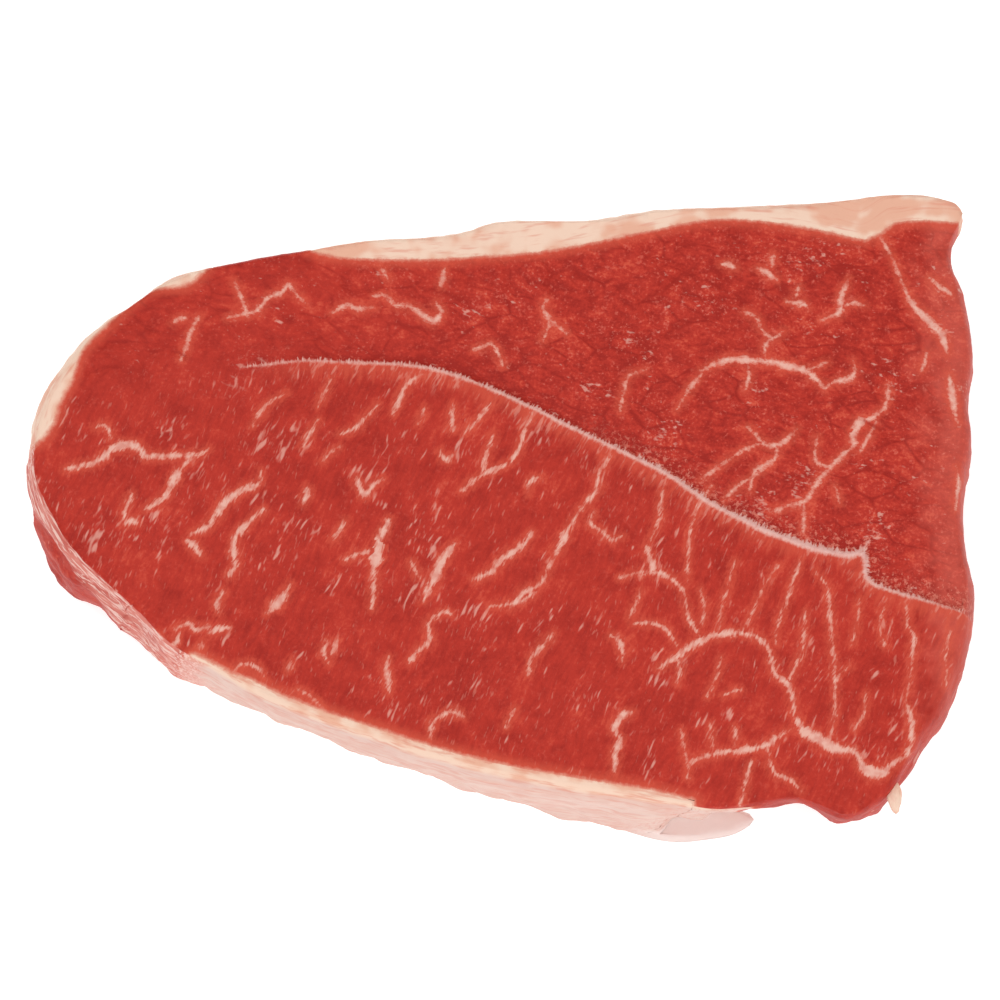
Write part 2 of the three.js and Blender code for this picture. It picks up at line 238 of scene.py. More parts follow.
# %% Veins of the lower muscle
LOWER_VEINS = [
    (1.7, [
        (657, 669), (675, 658), (687, 649), (702, 640), (718, 635), (740, 633), (758, 638), (769, 649),
    ]),
    (1.4, [(769, 649), (776, 675), (786, 682), (792, 696), (794, 719)]),
    ([1.6, 3.0, 3.2, 3.0, 2.8], [
        (792, 712), (803, 730), (819, 740), (838, 749), (853, 751), (860, 759),
    ]),
    ([2.8, 3.0, 2.8, 2.4, 1.8], [(858, 757), (866, 770), (882, 772), (893, 764), (905, 757)]),
    ([1.8, 1.6, 0.9], [(905, 757), (911, 742), (911, 720), (906, 698)]),
    (0.7, [(906, 604), (908, 626), (913, 635), (912, 659), (910, 677), (906, 698)]),
    (1.5, [(794, 728), (776, 738), (767, 745), (738, 751), (719, 753), (687, 763)]),
    (0.9, [(767, 747), (771, 764), (776, 774), (790, 780), (801, 791)]),
    (0.8, [(677, 658), (680, 669), (677, 683)]),
    (0.6, [(721, 658), (716, 678), (707, 696)]),
    (0.6, [(722, 696), (740, 689)]),
    (0.7, [(816, 572), (827, 587), (830, 619), (833, 648), (835, 677), (835, 707), (832, 734)]),
    (0.8, [(806, 611), (804, 631), (801, 655), (794, 669), (789, 680)]),
    (0.6, [(950, 631), (946, 652), (947, 686)]),
    (0.6, [(751, 761), (746, 782), (741, 805)]),
    (0.6, [(866, 694), (863, 715), (853, 730)]),
    (2.2, [
        (66, 469), (85, 465), (100, 460), (114, 448), (125, 445), (138, 447), (147, 456), (161, 456),
    ]),
    (1.6, [(147, 455), (161, 456), (194, 455), (208, 450)]),
    (1.8, [(194, 456), (181, 469), (172, 483), (165, 496), (145, 510)]),
    (1.9, [(261, 471), (259, 483), (241, 491), (225, 503), (214, 518), (208, 526), (192, 534)]),
    (1.6, [(263, 510), (248, 523), (235, 538), (234, 556), (235, 567), (229, 576)]),
    (2.4, [(187, 541), (194, 546), (201, 556)]),
    (1.2, [(132, 494), (125, 512), (124, 525)]),
    (1.9, [(124, 525), (131, 521), (138, 522)]),
    (0.9, [(96, 428), (103, 425), (109, 431), (111, 440)]),
    (2.0, [(290, 585), (281, 599), (266, 614)]),
    (1.1, [(223, 592), (217, 603), (218, 614)]),
    (1.2, [(174, 630), (190, 624), (194, 630), (210, 627)]),
    (1.3, [(208, 634), (214, 630), (228, 628)]),
    (1.0, [(233, 672), (241, 664), (257, 668), (264, 676)]),
    (0.9, [(292, 660), (290, 666), (287, 671)]),
    (0.9, [(252, 425), (268, 404), (287, 393)]),
    (1.2, [(389, 522), (385, 532), (377, 545)]),
    ([1.4, 2.6, 3.8, 2.6, 1.2], [(389, 519), (381, 537), (376, 552), (375, 565), (373, 582)]),
    (1.0, [(375, 568), (373, 590), (372, 608)]),
    (1.1, [(372, 551), (358, 554), (345, 560)]),
    (2.4, [(456, 543), (445, 556), (434, 579), (423, 601)]),
    (1.8, [(531, 534), (523, 545), (501, 561), (490, 572), (474, 579)]),
    (1.0, [(610, 454), (599, 474), (597, 489), (583, 507), (572, 523)]),
    (1.6, [(574, 520), (568, 530), (561, 543), (550, 565)]),
    (1.3, [(550, 565), (541, 583), (523, 594), (510, 608)]),
    (1.0, [(532, 413), (525, 429), (519, 449), (510, 464)]),
    (1.2, [(510, 464), (495, 469), (479, 477), (461, 491)]),
    (1.0, [(494, 433), (487, 454), (481, 474)]),
    (1.3, [(454, 404), (452, 412), (452, 430)]),
    (0.9, [(490, 404), (479, 418), (465, 433)]),
    (1.6, [(357, 478), (360, 489), (365, 494), (373, 486), (382, 479)]),
    (1.0, [(452, 615), (445, 612), (438, 615), (429, 623), (429, 641), (416, 654), (409, 663)]),
    (1.5, [(389, 657), (387, 666), (388, 677), (389, 692)]),
    (1.2, [(553, 633), (546, 642), (533, 656), (528, 676)]),
    (1.1, [(611, 636), (618, 640), (622, 650), (622, 662)]),
    (0.7, [(515, 709), (510, 718), (506, 727)]),
    (2.0, [(631, 712), (622, 716), (615, 729), (620, 738)]),
    (1.7, [(622, 738), (616, 750), (614, 772)]),
    (1.5, [(646, 546), (652, 570), (640, 576)]),
    (1.4, [(642, 575), (657, 573), (672, 580), (684, 591)]),
    (0.8, [(684, 590), (686, 604), (690, 622), (700, 636)]),
    (1.0, [(594, 511), (590, 522), (602, 531), (612, 540), (622, 536)]),
    (1.0, [(539, 477), (531, 482), (528, 492)]),
    (0.9, [(440, 452), (446, 460), (452, 455)]),
    (0.8, [(318, 420), (310, 434), (303, 446)]),
    (0.8, [(378, 404), (366, 417), (356, 428), (340, 434)]),
    (1.4, [(424, 374), (410, 382), (401, 396), (393, 414)]),
    (1.0, [(331, 380), (325, 392), (318, 406)]),
    (1.2, [(308, 488), (306, 496), (303, 504)]),
    (0.8, [(411, 562), (415, 569), (419, 578)]),
    (1.2, [(537, 591), (519, 602), (489, 607)]),
    (0.8, [(620, 578), (633, 574), (647, 571)]),
    (0.8, [(663, 491), (659, 517), (651, 540)]),
    (0.5, [(711, 486), (698, 508), (690, 536), (687, 580)]),
    (0.5, [(735, 561), (728, 587), (721, 612), (719, 632)]),
    (0.5, [(778, 565), (764, 587), (755, 608), (744, 630)]),
    (0.6, [(800, 561), (789, 594), (778, 626), (775, 643)]),
    (0.6, [(634, 624), (652, 624), (667, 630), (676, 645)]),
    (0.5, [(681, 730), (685, 752), (688, 764), (688, 778)]),
    (0.4, [(710, 723), (712, 734), (712, 746)]),
    (0.4, [(735, 727), (736, 737), (734, 747)]),
    (0.4, [(850, 666), (838, 677), (833, 690)]),
    (0.5, [(641, 590), (636, 604), (630, 618)]),
    (0.5, [(700, 588), (704, 604), (702, 624)]),
    (0.5, [(860, 600), (858, 622), (851, 644)]),
    (0.5, [(884, 606), (880, 626), (884, 646)]),
    (1.6, [(156, 633), (160, 638), (163, 643)]),
    (1.2, [(171, 648), (176, 642), (179, 634)]),
    (1.2, [(198, 651), (202, 645), (203, 640)]),
    (0.9, [(424, 409), (418, 424)]),
    (0.7, [(340, 446), (332, 452), (322, 462)]),
    (0.7, [(345, 520), (338, 533), (331, 541)]),
    (0.8, [(327, 640), (324, 652), (328, 662)]),
    (1.3, [(440, 716), (452, 712), (463, 716)]),
    (0.9, [(430, 738), (433, 722), (440, 716)]),
    (1.0, [(298, 690), (310, 696), (322, 708)]),
    (0.8, [(336, 641), (331, 656)]),
]
print(f"{len(LOWER_VEINS)} veins in the lower muscle")

# %% Veins of the upper muscle
UPPER_VEINS = [
    (2.0, [
        (701, 371), (715, 364), (728, 360), (768, 362), (788, 366), (806, 371), (817, 380), (826, 389),
    ]),
    (1.2, [(826, 388), (833, 382), (851, 378), (855, 369), (853, 360)]),
    (0.8, [(765, 360), (766, 344), (782, 333)]),
    (0.8, [(806, 371), (818, 366), (828, 362)]),
    (0.5, [(702, 373), (690, 388), (677, 409)]),
    (0.6, [(745, 390), (749, 376), (748, 366)]),
    (0.7, [(755, 317), (762, 331), (774, 338), (784, 331)]),
    (0.6, [(843, 306), (854, 303), (865, 306)]),
    (0.9, [(930, 278), (940, 287), (951, 294)]),
    ([0.4, 1.7, 1.9, 1.2, 0.3], [(949, 374), (951, 386), (953, 399), (955, 412), (958, 424)]),
    ([0.3, 1.2, 1.3, 0.4], [(957, 468), (959, 480), (958, 494), (956, 509)]),
    (0.5, [(732, 456), (718, 466), (702, 478)]),
    (0.6, [(771, 464), (750, 478), (733, 490), (724, 500)]),
    (1.7, [(849, 279), (842, 295), (840, 311), (822, 320)]),
    (1.7, [(788, 302), (802, 304), (808, 308)]),
    (1.8, [(757, 268), (765, 272), (776, 279)]),
    (1.6, [(721, 264), (728, 265), (735, 268)]),
    (0.9, [(773, 254), (772, 266)]),
    (0.9, [(744, 312), (756, 318), (761, 328)]),
    (0.9, [(799, 287), (795, 298)]),
    (0.9, [(927, 353), (925, 362), (921, 371)]),
    (1.6, [(881, 411), (872, 418), (862, 420), (851, 429)]),
    (2.4, [(866, 418), (857, 427), (853, 437), (854, 446)]),
    (1.2, [(854, 445), (844, 454), (829, 469), (817, 483), (806, 500), (784, 507), (770, 512)]),
    (0.8, [(804, 500), (804, 516), (804, 532)]),
    (1.4, [(748, 427), (755, 434), (762, 442), (770, 446), (780, 444), (788, 438), (797, 429)]),
    (0.9, [(777, 446), (775, 458), (762, 466), (755, 471), (750, 489)]),
    (0.9, [(762, 442), (739, 452), (726, 462), (710, 474)]),
    (0.9, [(817, 436), (816, 460), (829, 469)]),
    (0.7, [(835, 485), (840, 503)]),
    (0.6, [(884, 410), (888, 398), (888, 386)]),
    (0.7, [(876, 422), (868, 438), (860, 452)]),
    (1.3, [(333, 312), (347, 305), (358, 308), (374, 307)]),
    (1.1, [(374, 296), (387, 296), (394, 304), (412, 306)]),
    (1.6, [(410, 306), (423, 315), (434, 320), (441, 313), (436, 302)]),
    (1.1, [(380, 266), (384, 272), (389, 280)]),
    (0.9, [(445, 269), (443, 277), (441, 286)]),
    (1.1, [(547, 300), (543, 308), (550, 320), (566, 333)]),
    (0.9, [(550, 320), (547, 331), (543, 342)]),
    (0.8, [(474, 349), (484, 345), (492, 344), (503, 364)]),
    (0.9, [(646, 370), (630, 375), (624, 393), (620, 410)]),
    (1.0, [
        (228, 318), (243, 314), (257, 310), (268, 298), (281, 293), (288, 285), (297, 295), (305, 303),
    ]),
    (0.8, [(234, 282), (240, 295), (248, 315)]),
    (1.0, [(199, 317), (192, 329), (187, 344), (181, 360)]),
    (1.2, [(174, 322), (180, 319), (185, 318)]),
]
CORNER_MUSCLE = [
    (880, 237), (891, 255), (902, 282), (907, 295), (918, 311), (933, 326), (942, 335), (947, 353),
]
print(f"{len(UPPER_VEINS)} veins in the upper muscle")

# %% Draw them
veins = Lines()
for width, places in LOWER_VEINS + UPPER_VEINS:
    veins.draw([on_face(*place) for place in places], width, unevenness=0.5)
veins.draw([on_face(*place) for place in CORNER_MUSCLE[:4]], 0.7, taper=0)
veins.draw([on_face(*place) for place in CORNER_MUSCLE[3:]], 2.2)
veins.grow()

CREASES = [
    (0.9, [(505, 262), (511, 276), (516, 297)]),
    (0.8, [(536, 250), (545, 262), (556, 276)]),
    (0.8, [(556, 292), (547, 283), (560, 270)]),
    (0.7, [(622, 322), (636, 333), (650, 330)]),
    (0.8, [(640, 300), (662, 290), (690, 268), (704, 256)]),
    (0.7, [(655, 255), (676, 262), (700, 272)]),
    (0.7, [(100, 345), (118, 340), (140, 343)]),
    (0.7, [(118, 326), (136, 322), (160, 330)]),
    (0.7, [(90, 372), (110, 366), (128, 372)]),
    (0.6, [(150, 352), (170, 348), (186, 356)]),
    (0.6, [(150, 425), (166, 436), (172, 430)]),
    (0.7, [(878, 470), (893, 476), (905, 482)]),
    (0.6, [(896, 505), (915, 512), (934, 516)]),
    (0.7, [(865, 420), (880, 428), (900, 436)]),
    (0.6, [(455, 262), (468, 275), (480, 282)]),
    (0.6, [(340, 283), (362, 288), (380, 286)]),
]
creases = Lines()
for width, places in CREASES:
    creases.draw([on_face(*place) for place in places], width)
creases.grow()

MEMBRANE = [(22, 470), (35, 510), (52, 545), (80, 580), (108, 604), (140, 630), (172, 652)]
MEMBRANE_WIDTH = 14
skins = Lines()
skins.draw([on_face(*place) for place in MEMBRANE], MEMBRANE_WIDTH, taper=0)
skins.grow()
print(f"{len(veins.samples)} vein samples, {len(creases.samples)} crease samples")

# %% [markdown]
# ## From solid to meat
#
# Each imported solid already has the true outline, so its copy is the start of the
# visible piece. The copy is merged, its flat cut face is made one face again, and
# then planes slice it into an even net. Long edges are split until the net is fine
# enough, finest where a vein or the seam needs a sharp border.

# %% Merge and slice a solid
NET = 3.0  # millimetres between the slicing planes
DIP = 1.7  # how far the solid's cut face sinks along the seam, at most
DOUBLE = 0.002  # vertices this near to each other become one
FLAT_TURN = math.radians(0.6)  # faces that turn less than this become one
FACES_UP = 0.97  # how much of a face's normal points up on the cut face
ON_PLANE = 0.02  # vertices this near to a slicing plane count as on it


def merged_copy(node):
    """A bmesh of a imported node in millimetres, its triangles joined up."""
    mesh = bmesh.new()
    mesh.from_mesh(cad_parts[node].data)
    bmesh.ops.scale(mesh, vec=(1 / MM,) * 3, verts=mesh.verts)
    bmesh.ops.remove_doubles(mesh, verts=mesh.verts, dist=DOUBLE)
    return mesh


def level_cut_face(mesh):
    """Fills the dip along the seam, whose finer form is made later."""
    for face in mesh.faces:
        if face.normal.z > FACES_UP and face.calc_center_median().z > THICKNESS - DIP:
            for vertex in face.verts:
                vertex.co.z = THICKNESS
    bmesh.ops.remove_doubles(mesh, verts=mesh.verts, dist=DOUBLE)
    bmesh.ops.dissolve_degenerate(mesh, edges=mesh.edges, dist=DOUBLE / 2)
    bmesh.ops.dissolve_limit(mesh, angle_limit=FLAT_TURN, verts=mesh.verts, edges=mesh.edges)


def clean_up(mesh):
    """Takes out slivers without any area, which would double when they are split."""
    bmesh.ops.remove_doubles(mesh, verts=mesh.verts, dist=DOUBLE)
    bmesh.ops.dissolve_degenerate(mesh, edges=mesh.edges, dist=DOUBLE)
    bmesh.ops.triangulate(mesh, faces=[face for face in mesh.faces if len(face.verts) > 3])


def slice_into_net(mesh):
    """Cuts the solid by evenly spaced planes across X, Y and Z."""
    for axis in range(3):
        values = [vertex.co[axis] for vertex in mesh.verts]
        low, high = min(values), max(values)
        normal = Vector([float(axis == other) for other in range(3)])
        for step in range(math.floor(low / NET) + 1, math.ceil(high / NET)):
            whole = mesh.verts[:] + mesh.edges[:] + mesh.faces[:]
            place = normal * step * NET
            bmesh.ops.bisect_plane(mesh, geom=whole, dist=ON_PLANE, plane_co=place, plane_no=normal)
    bmesh.ops.triangulate(mesh, faces=mesh.faces)
    clean_up(mesh)


print(f"planes {NET} mm apart will slice each solid")


# %% Split long edges
FINE = 0.5  # at a vein's or the seam's border
MIDDLING = 1.0  # round that border
OPEN = 1.7  # elsewhere on the cut face and the sides
UNDER = 2.6  # on the face that lies on the table
FINE_REACH = 0.82  # how far from the border the net is fine
MIDDLING_REACH = 2.3
EDGE_ZONE = 0.5  # how near to a flat face counts as on it
SPLIT_OVER = 1.35  # an edge is split when it is this much longer than it may be
ROUNDS = 6


def wanted_length(place):
    """How long an edge may be at a place."""
    if place.z < EDGE_ZONE:
        return UNDER
    if place.z < THICKNESS - EDGE_ZONE:
        return OPEN
    nearest = min(abs(veins.edge(place.x, place.y)), abs(seam.edge(place.x, place.y)))
    return FINE if nearest < FINE_REACH else OPEN if nearest > MIDDLING_REACH else MIDDLING


def too_long(edge):
    """Whether an edge is longer than its place allows."""
    middle = (edge.verts[0].co + edge.verts[1].co) / 2
    return edge.calc_length() > SPLIT_OVER * wanted_length(middle)


def refine(mesh):
    """Splits every edge that is too long for its place, until none is left."""
    for _ in range(ROUNDS):
        long_edges = [edge for edge in mesh.edges if too_long(edge)]
        if not long_edges:
            break
        bmesh.ops.subdivide_edges(mesh, edges=long_edges, cuts=1)
        bmesh.ops.triangulate(mesh, faces=[face for face in mesh.faces if len(face.verts) > 3])
        clean_up(mesh)


print(f"edges end up between about {FINE} and {UNDER} mm long")


# %% How far a place is from the other kind of meat
GAP = 0.3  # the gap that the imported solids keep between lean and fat
FAT_NODES = ["back_fat", "left_fat", "front_fat"]


def surface_of(node):
    """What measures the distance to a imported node's surface, in millimetres."""
    mesh = merged_copy(node)
    tree = BVHTree.FromBMesh(mesh)
    mesh.free()
    return tree


lean_surface = surface_of("lean_meat")
fat_surfaces = [surface_of(node) for node in FAT_NODES]


def fat_distance(place, is_fat):
    """Millimetres from the border of lean and fat, above 0 in the fat."""
    if is_fat:
        return lean_surface.find_nearest(place)[3]
    return -max(min(surface.find_nearest(place)[3] for surface in fat_surfaces) - GAP, 0)


print(f"{len(fat_surfaces)} layers of fat lie round the lean")

# %% [markdown]
# ## Relief
#
# Raw meat is never flat. The upper muscle dips to the seam, veins stand a hair
# proud because fat is firmer than lean, and creases sink. The sides are softer and
# lumpier than the knife-cut face. Both reliefs only depend on the place, so lean and
# fat rise and fall together where they meet.

# %% Relief of the cut face
SEAM_DEPTH = 1.4  # how deep the upper muscle dips at the seam
SEAM_DIP = 12.0  # how far from the seam the dip fades
SEAM_WALL = 1.8  # how wide the wall is in which the lower muscle falls to it
SEAM_START, SEAM_FULL = -75, -15  # where along X the dip starts, and where it is full
RIDGE_RISE, RIDGE_PLACE, RIDGE_WIDTH = 0.15, 0.7, 1.5
VEIN_RISE, VEIN_SHOULDER = 0.16, 0.5
CREASE_DEPTH, CREASE_WIDTH = 0.6, 0.9
CALM = 4.0  # how far from the border of lean and fat the fine relief starts
UPPER_COARSENESS = 1.6  # the upper muscle is the rougher one


def lump(x, y, size, layer):
    """Smooth noise from about -1 to 1 with lumps of some millimetres."""
    return noise.noise(Vector((x / size, y / size, layer)))


def face_relief(x, y, roughness):
    """The height of the cut face above its plane, in millimetres."""
    side = border.side(x, y)
    strength = min(max((x - SEAM_START) / (SEAM_FULL - SEAM_START), 0), 1)
    height = 0.0
    if side > 0:
        height -= SEAM_DEPTH * strength * math.exp(-side / SEAM_DIP) * min(side / SEAM_WALL, 1)
    height += RIDGE_RISE * strength * math.exp(-((side + RIDGE_PLACE) / RIDGE_WIDTH) ** 2)
    height += VEIN_RISE * (1 - min(max(veins.edge(x, y) / VEIN_SHOULDER, 0), 1))
    height -= CREASE_DEPTH * math.exp(-(max(creases.edge(x, y), 0) / CREASE_WIDTH) ** 2)
    coarse = UPPER_COARSENESS if side > 0 else 1.0
    fine = 0.2 * lump(x, y, 6, 3) + 0.1 * lump(x, y, 3, 7)
    return height + 0.4 * lump(x, y, 17, 0) + coarse * roughness * fine


print(f"the face at its centre lies {face_relief(0, 0, 1):.2f} mm off its plane")

# %% Relief of the sides
LOOSE_FROM, LOOSE_FADE = -75, 20  # left of this the front side is loose, and wavier
FADE_IN = 3  # how far from the flat faces the relief of the sides is full


def side_relief(place):
    """How far out the side swells at a place, in millimetres."""
    bulges = 0.5 * noise.noise(place / 11)
    folds = 0.35 * noise.noise(Vector((place.x / 30, place.y / 30, place.z / 4)))
    dimples = 0.3 * noise.noise(place / 3.2)
    left = min(max((LOOSE_FROM - place.x) / LOOSE_FADE, 0), 1)
    loose = left * min(max(-place.y / LOOSE_FADE, 0), 1)
    return (1 + loose) * (bulges + folds + dimples)


def outward(vertex, hidden):
    """The way a vertex of the side moves: out of its faces that aren't hidden."""
    way = Vector()
    for face in vertex.link_faces:
        if face not in hidden and abs(face.normal.z) < 0.999:
            way += face.normal * face.calc_area()
    return way.normalized() if way.length > 0 else way


def lay_relief(mesh, hidden, is_fat):
    """Moves every vertex of a piece by the relief of its place."""
    mesh.normal_update()
    moves = []
    for vertex in mesh.verts:
        place = vertex.co
        if place.z > THICKNESS - 0.02:
            roughness = min(abs(fat_distance(place, is_fat)) / CALM, 1)  # lean and fat meet level
            moves.append(Vector((0, 0, face_relief(place.x, place.y, roughness))))
        elif place.z > 0.3:
            strength = min((THICKNESS - place.z) / FADE_IN, 1) * min(place.z / FADE_IN, 1)
            moves.append(outward(vertex, hidden) * side_relief(place) * strength)
        else:
            moves.append(Vector())
    for vertex, move in zip(mesh.verts, moves):
        vertex.co += move


print(f"a place on the front side swells by {side_relief(Vector((0, -85, 25))):.2f} mm")

# %% [markdown]
# ## Building the pieces
#
# The fat pieces first close the hair-wide gap that the solids keep, so that lean
# and fat meet in the render as they do in the real roast. Every vertex then stores
# its distances to the seam, to the veins, to the creases and to the border with the
# fat, for the material to read.

# %% Bring lean and fat together
OVERLAP = 0.15  # how far the fat slips into the lean
BELOW_RIM = 0.5  # how far below its rim a wall is measured
STEP_DOWN = 0.02  # how far the fat's rim lies below the lean's


def close_gap(mesh):
    """Lays a fat piece's inner wall against the lean."""
    for vertex in mesh.verts:
        nearest, _, _, distance = lean_surface.find_nearest(vertex.co)
        if distance < GAP * 1.6:
            vertex.co = nearest


def tuck_in(hidden):
    """Slips the fat's inner wall a hair into the lean, so that no dark line shows."""
    for vertex in {vertex for face in hidden for vertex in face.verts}:
        probe = vertex.co.copy()
        probe.z = min(max(probe.z, BELOW_RIM), THICKNESS - BELOW_RIM)
        nearest, normal, _, _ = lean_surface.find_nearest(probe)
        place = nearest.xy - normal.xy * OVERLAP
        if (place - vertex.co.xy).length < 2 * OVERLAP:
            vertex.co.xy = place


def sink_border(hidden):
    """Lowers the fat's rim just below the lean's."""
    for vertex in {vertex for face in hidden for vertex in face.verts}:
        if vertex.co.z > THICKNESS - BELOW_RIM:
            vertex.co.z -= STEP_DOWN


def hidden_faces(mesh, is_fat):
    """The faces where lean and fat touch, which nobody sees."""
    others = [lean_surface] if is_fat else fat_surfaces
    return {
        face for face in mesh.faces
        if any(other.find_nearest(face.calc_center_median(), GAP * 1.8)[0] for other in others)
    }


print(f"{GAP} mm of gap close between lean and fat")

# %% Smooth the facets
SMOOTHINGS = 6
SHARP = math.radians(50)


def smooth_sides(mesh, hidden):
    """Rounds the facets of the sides, but leaves the flat faces and the borders alone."""
    sides = [
        vertex for vertex in mesh.verts
        if 0.01 < vertex.co.z < THICKNESS - 0.01 and hidden.isdisjoint(vertex.link_faces)
    ]
    every_way = {f"use_axis_{axis}": True for axis in "xyz"}
    for _ in range(SMOOTHINGS):
        bmesh.ops.smooth_vert(mesh, verts=sides, factor=0.5, **every_way)


def part_shading(mesh, hidden):
    """Shades everything smooth, but keeps the rim apart from the wall that nobody sees."""
    mesh.normal_update()
    for face in mesh.faces:
        face.smooth = True
    for edge in mesh.edges:
        if not hidden.isdisjoint(edge.link_faces) and edge.calc_face_angle(0) > SHARP:
            edge.smooth = False


print(f"the sides are smoothed {SMOOTHINGS} times")

# %% Store the distances
UNDERSIDE_WANDER = 7.0  # how far sideways a vein wanders on its way down
WANDER_SIZE = 35


def wander(place):
    """Veins wander on their way down, so the underside isn't the upper face again."""
    share = 1 - min(max(place.z / THICKNESS, 0), 1)
    x = place.x + UNDERSIDE_WANDER * share * (noise.noise(place / WANDER_SIZE) + 0.8)
    y = place.y + UNDERSIDE_WANDER * share * noise.noise(place / WANDER_SIZE + Vector((9, 9, 9)))
    return x, y


def store(data, name, values):
    """Keeps one number for each vertex under a name that materials can read."""
    layer = data.attributes.new(name, "FLOAT", "POINT")
    layer.data.foreach_set("value", np.array(values, np.float32))


read = [round(value, 1) for value in wander(Vector())]
print(f"the middle of the underside shows what lies at {read} on the cut face")

# %% Finish a piece
def finish_piece(name, mesh, node, is_fat):
    """Makes the piece's object, with its distances stored, and puts it in the frame."""
    places = [vertex.co.copy() for vertex in mesh.verts]
    spots = [wander(place) for place in places]
    bmesh.ops.scale(mesh, vec=(MM,) * 3, verts=mesh.verts)
    data = bpy.data.meshes.new(name)
    mesh.to_mesh(data)
    mesh.free()
    if data.has_custom_normals:
        data.attributes.remove(data.attributes["custom_normal"])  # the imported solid's own
    store(data, "seam_side", [border.side(*spot) for spot in spots])
    store(data, "seam_along", [border.along(*spot) for spot in spots])
    store(data, "seam_edge", [seam.edge(*spot) for spot in spots])
    store(data, "vein_edge", [veins.edge(*spot) for spot in spots])
    store(data, "crease_edge", [creases.edge(*spot) for spot in spots])
    store(data, "fat_depth", [fat_distance(place, is_fat) for place in places])
    store(data, "skin_edge", [skins.edge(place.x, place.y) for place in places])
    piece = bpy.data.objects.new(name, data)
    bpy.context.scene.collection.objects.link(piece)
    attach(piece, "root")
    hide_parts(node)
    print(f"{name}: {len(data.polygons)} triangles")
    return piece


# %% Make the lean and the three layers of fat
def carve(name, node, is_fat):
    """One piece of meat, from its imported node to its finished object."""
    mesh = merged_copy(node)
    if is_fat:
        close_gap(mesh)
    level_cut_face(mesh)
    slice_into_net(mesh)
    refine(mesh)
    hidden = hidden_faces(mesh, is_fat)
    smooth_sides(mesh, hidden)
    if is_fat:
        tuck_in(hidden)
    lay_relief(mesh, hidden, is_fat)
    if is_fat:
        sink_border(hidden)
    part_shading(mesh, hidden)
    return finish_piece(name, mesh, node, is_fat)


lean = carve("lean", "lean_meat", False)
fats = [carve(node.replace("_", "-"), node, True) for node in FAT_NODES]

# %% [markdown]
# ## A map for the lean
#
# When the model is exported, its colours are baked into a picture. The marbled cut
# face needs most of that picture, so the lean gets a map of its own: the cut face
# takes its whole width, the underside half as much, and the sides are unrolled into
# two strips.

# %% Unfold the lean
HALF_LONG, HALF_WIDE = 135, 92  # a little more than half the lean's length and width
FACE_SPAN, UNDER_SPAN = 270, 600  # the millimetres that the map's whole side covers
UNDER_FROM = 0.69  # where up the map the underside starts
STRIP_LEFT, STRIP_LONG = 0.475, 0.52
STRIP_FROM, STRIP_TALL, STRIP_STEP = 0.695, 0.145, 0.155
SIDE_TALL = 52  # a little more than the thickness


def unfold(data):
    """Gives the lean a map: the face below, the underside and the sides above it."""
    corners = np.empty(len(data.loops), np.int32)
    data.loops.foreach_get("vertex_index", corners)
    places = np.empty(len(data.vertices) * 3)
    data.vertices.foreach_get("co", places)
    x, y, z = (places.reshape(-1, 3)[corners] / MM).T
    normals = np.empty(len(data.polygons) * 3)
    data.polygons.foreach_get("normal", normals)
    facing = np.repeat(normals.reshape(-1, 3)[:, 2], 3)
    middle = [np.repeat(axis.reshape(-1, 3).mean(1), 3) for axis in (x, y, z)]
    turn = np.arctan2(y * ROUNDNESS, x)
    middle_turn = np.arctan2(middle[1] * ROUNDNESS, middle[0])
    turn += 2 * np.pi * np.round((middle_turn - turn) / (2 * np.pi))
    front = middle_turn < 0
    u = STRIP_LEFT + STRIP_LONG * (turn / np.pi + front)
    v = STRIP_FROM + STRIP_TALL * z / SIDE_TALL + STRIP_STEP * ~front
    up = (facing > 0.5) & (middle[2] > 40)
    down = (facing < -0.5) & (middle[2] < 3)
    u[up], v[up] = (x[up] + HALF_LONG) / FACE_SPAN, (y[up] + HALF_WIDE) / FACE_SPAN
    u[down] = (x[down] + HALF_LONG) / UNDER_SPAN
    v[down] = UNDER_FROM + (y[down] + HALF_WIDE) / UNDER_SPAN
    layer = data.uv_layers.new(name="OFBake")
    layer.data.foreach_set("uv", np.column_stack([u, v]).ravel().astype(np.float32))


unfold(lean.data)
print("the lean's map is made")

# %% [markdown]
# ## A scrap of fat
#
# At the front corner of the wide end a small tongue of fat hangs out from under the
# lean. It starts as a ball, which is stretched, narrowed towards its tip and bent
# down.

# %% Make the scrap
SCRAP_X, SCRAP_Y, SCRAP_Z = 109.7, -83.3, 45.5
HALF_WIDTH, HALF_LENGTH, HALF_HEIGHT = 2.1, 5.0, 1.3
DROOP = 0.9  # how far the tip hangs down
FAR_OFF = 9.0  # further from every line than it reaches
SCRAP_STORES = {
    "vein_edge": FAR_OFF, "seam_edge": FAR_OFF, "crease_edge": FAR_OFF, "skin_edge": FAR_OFF,
    "seam_side": -15.0, "seam_along": 0.0,
}


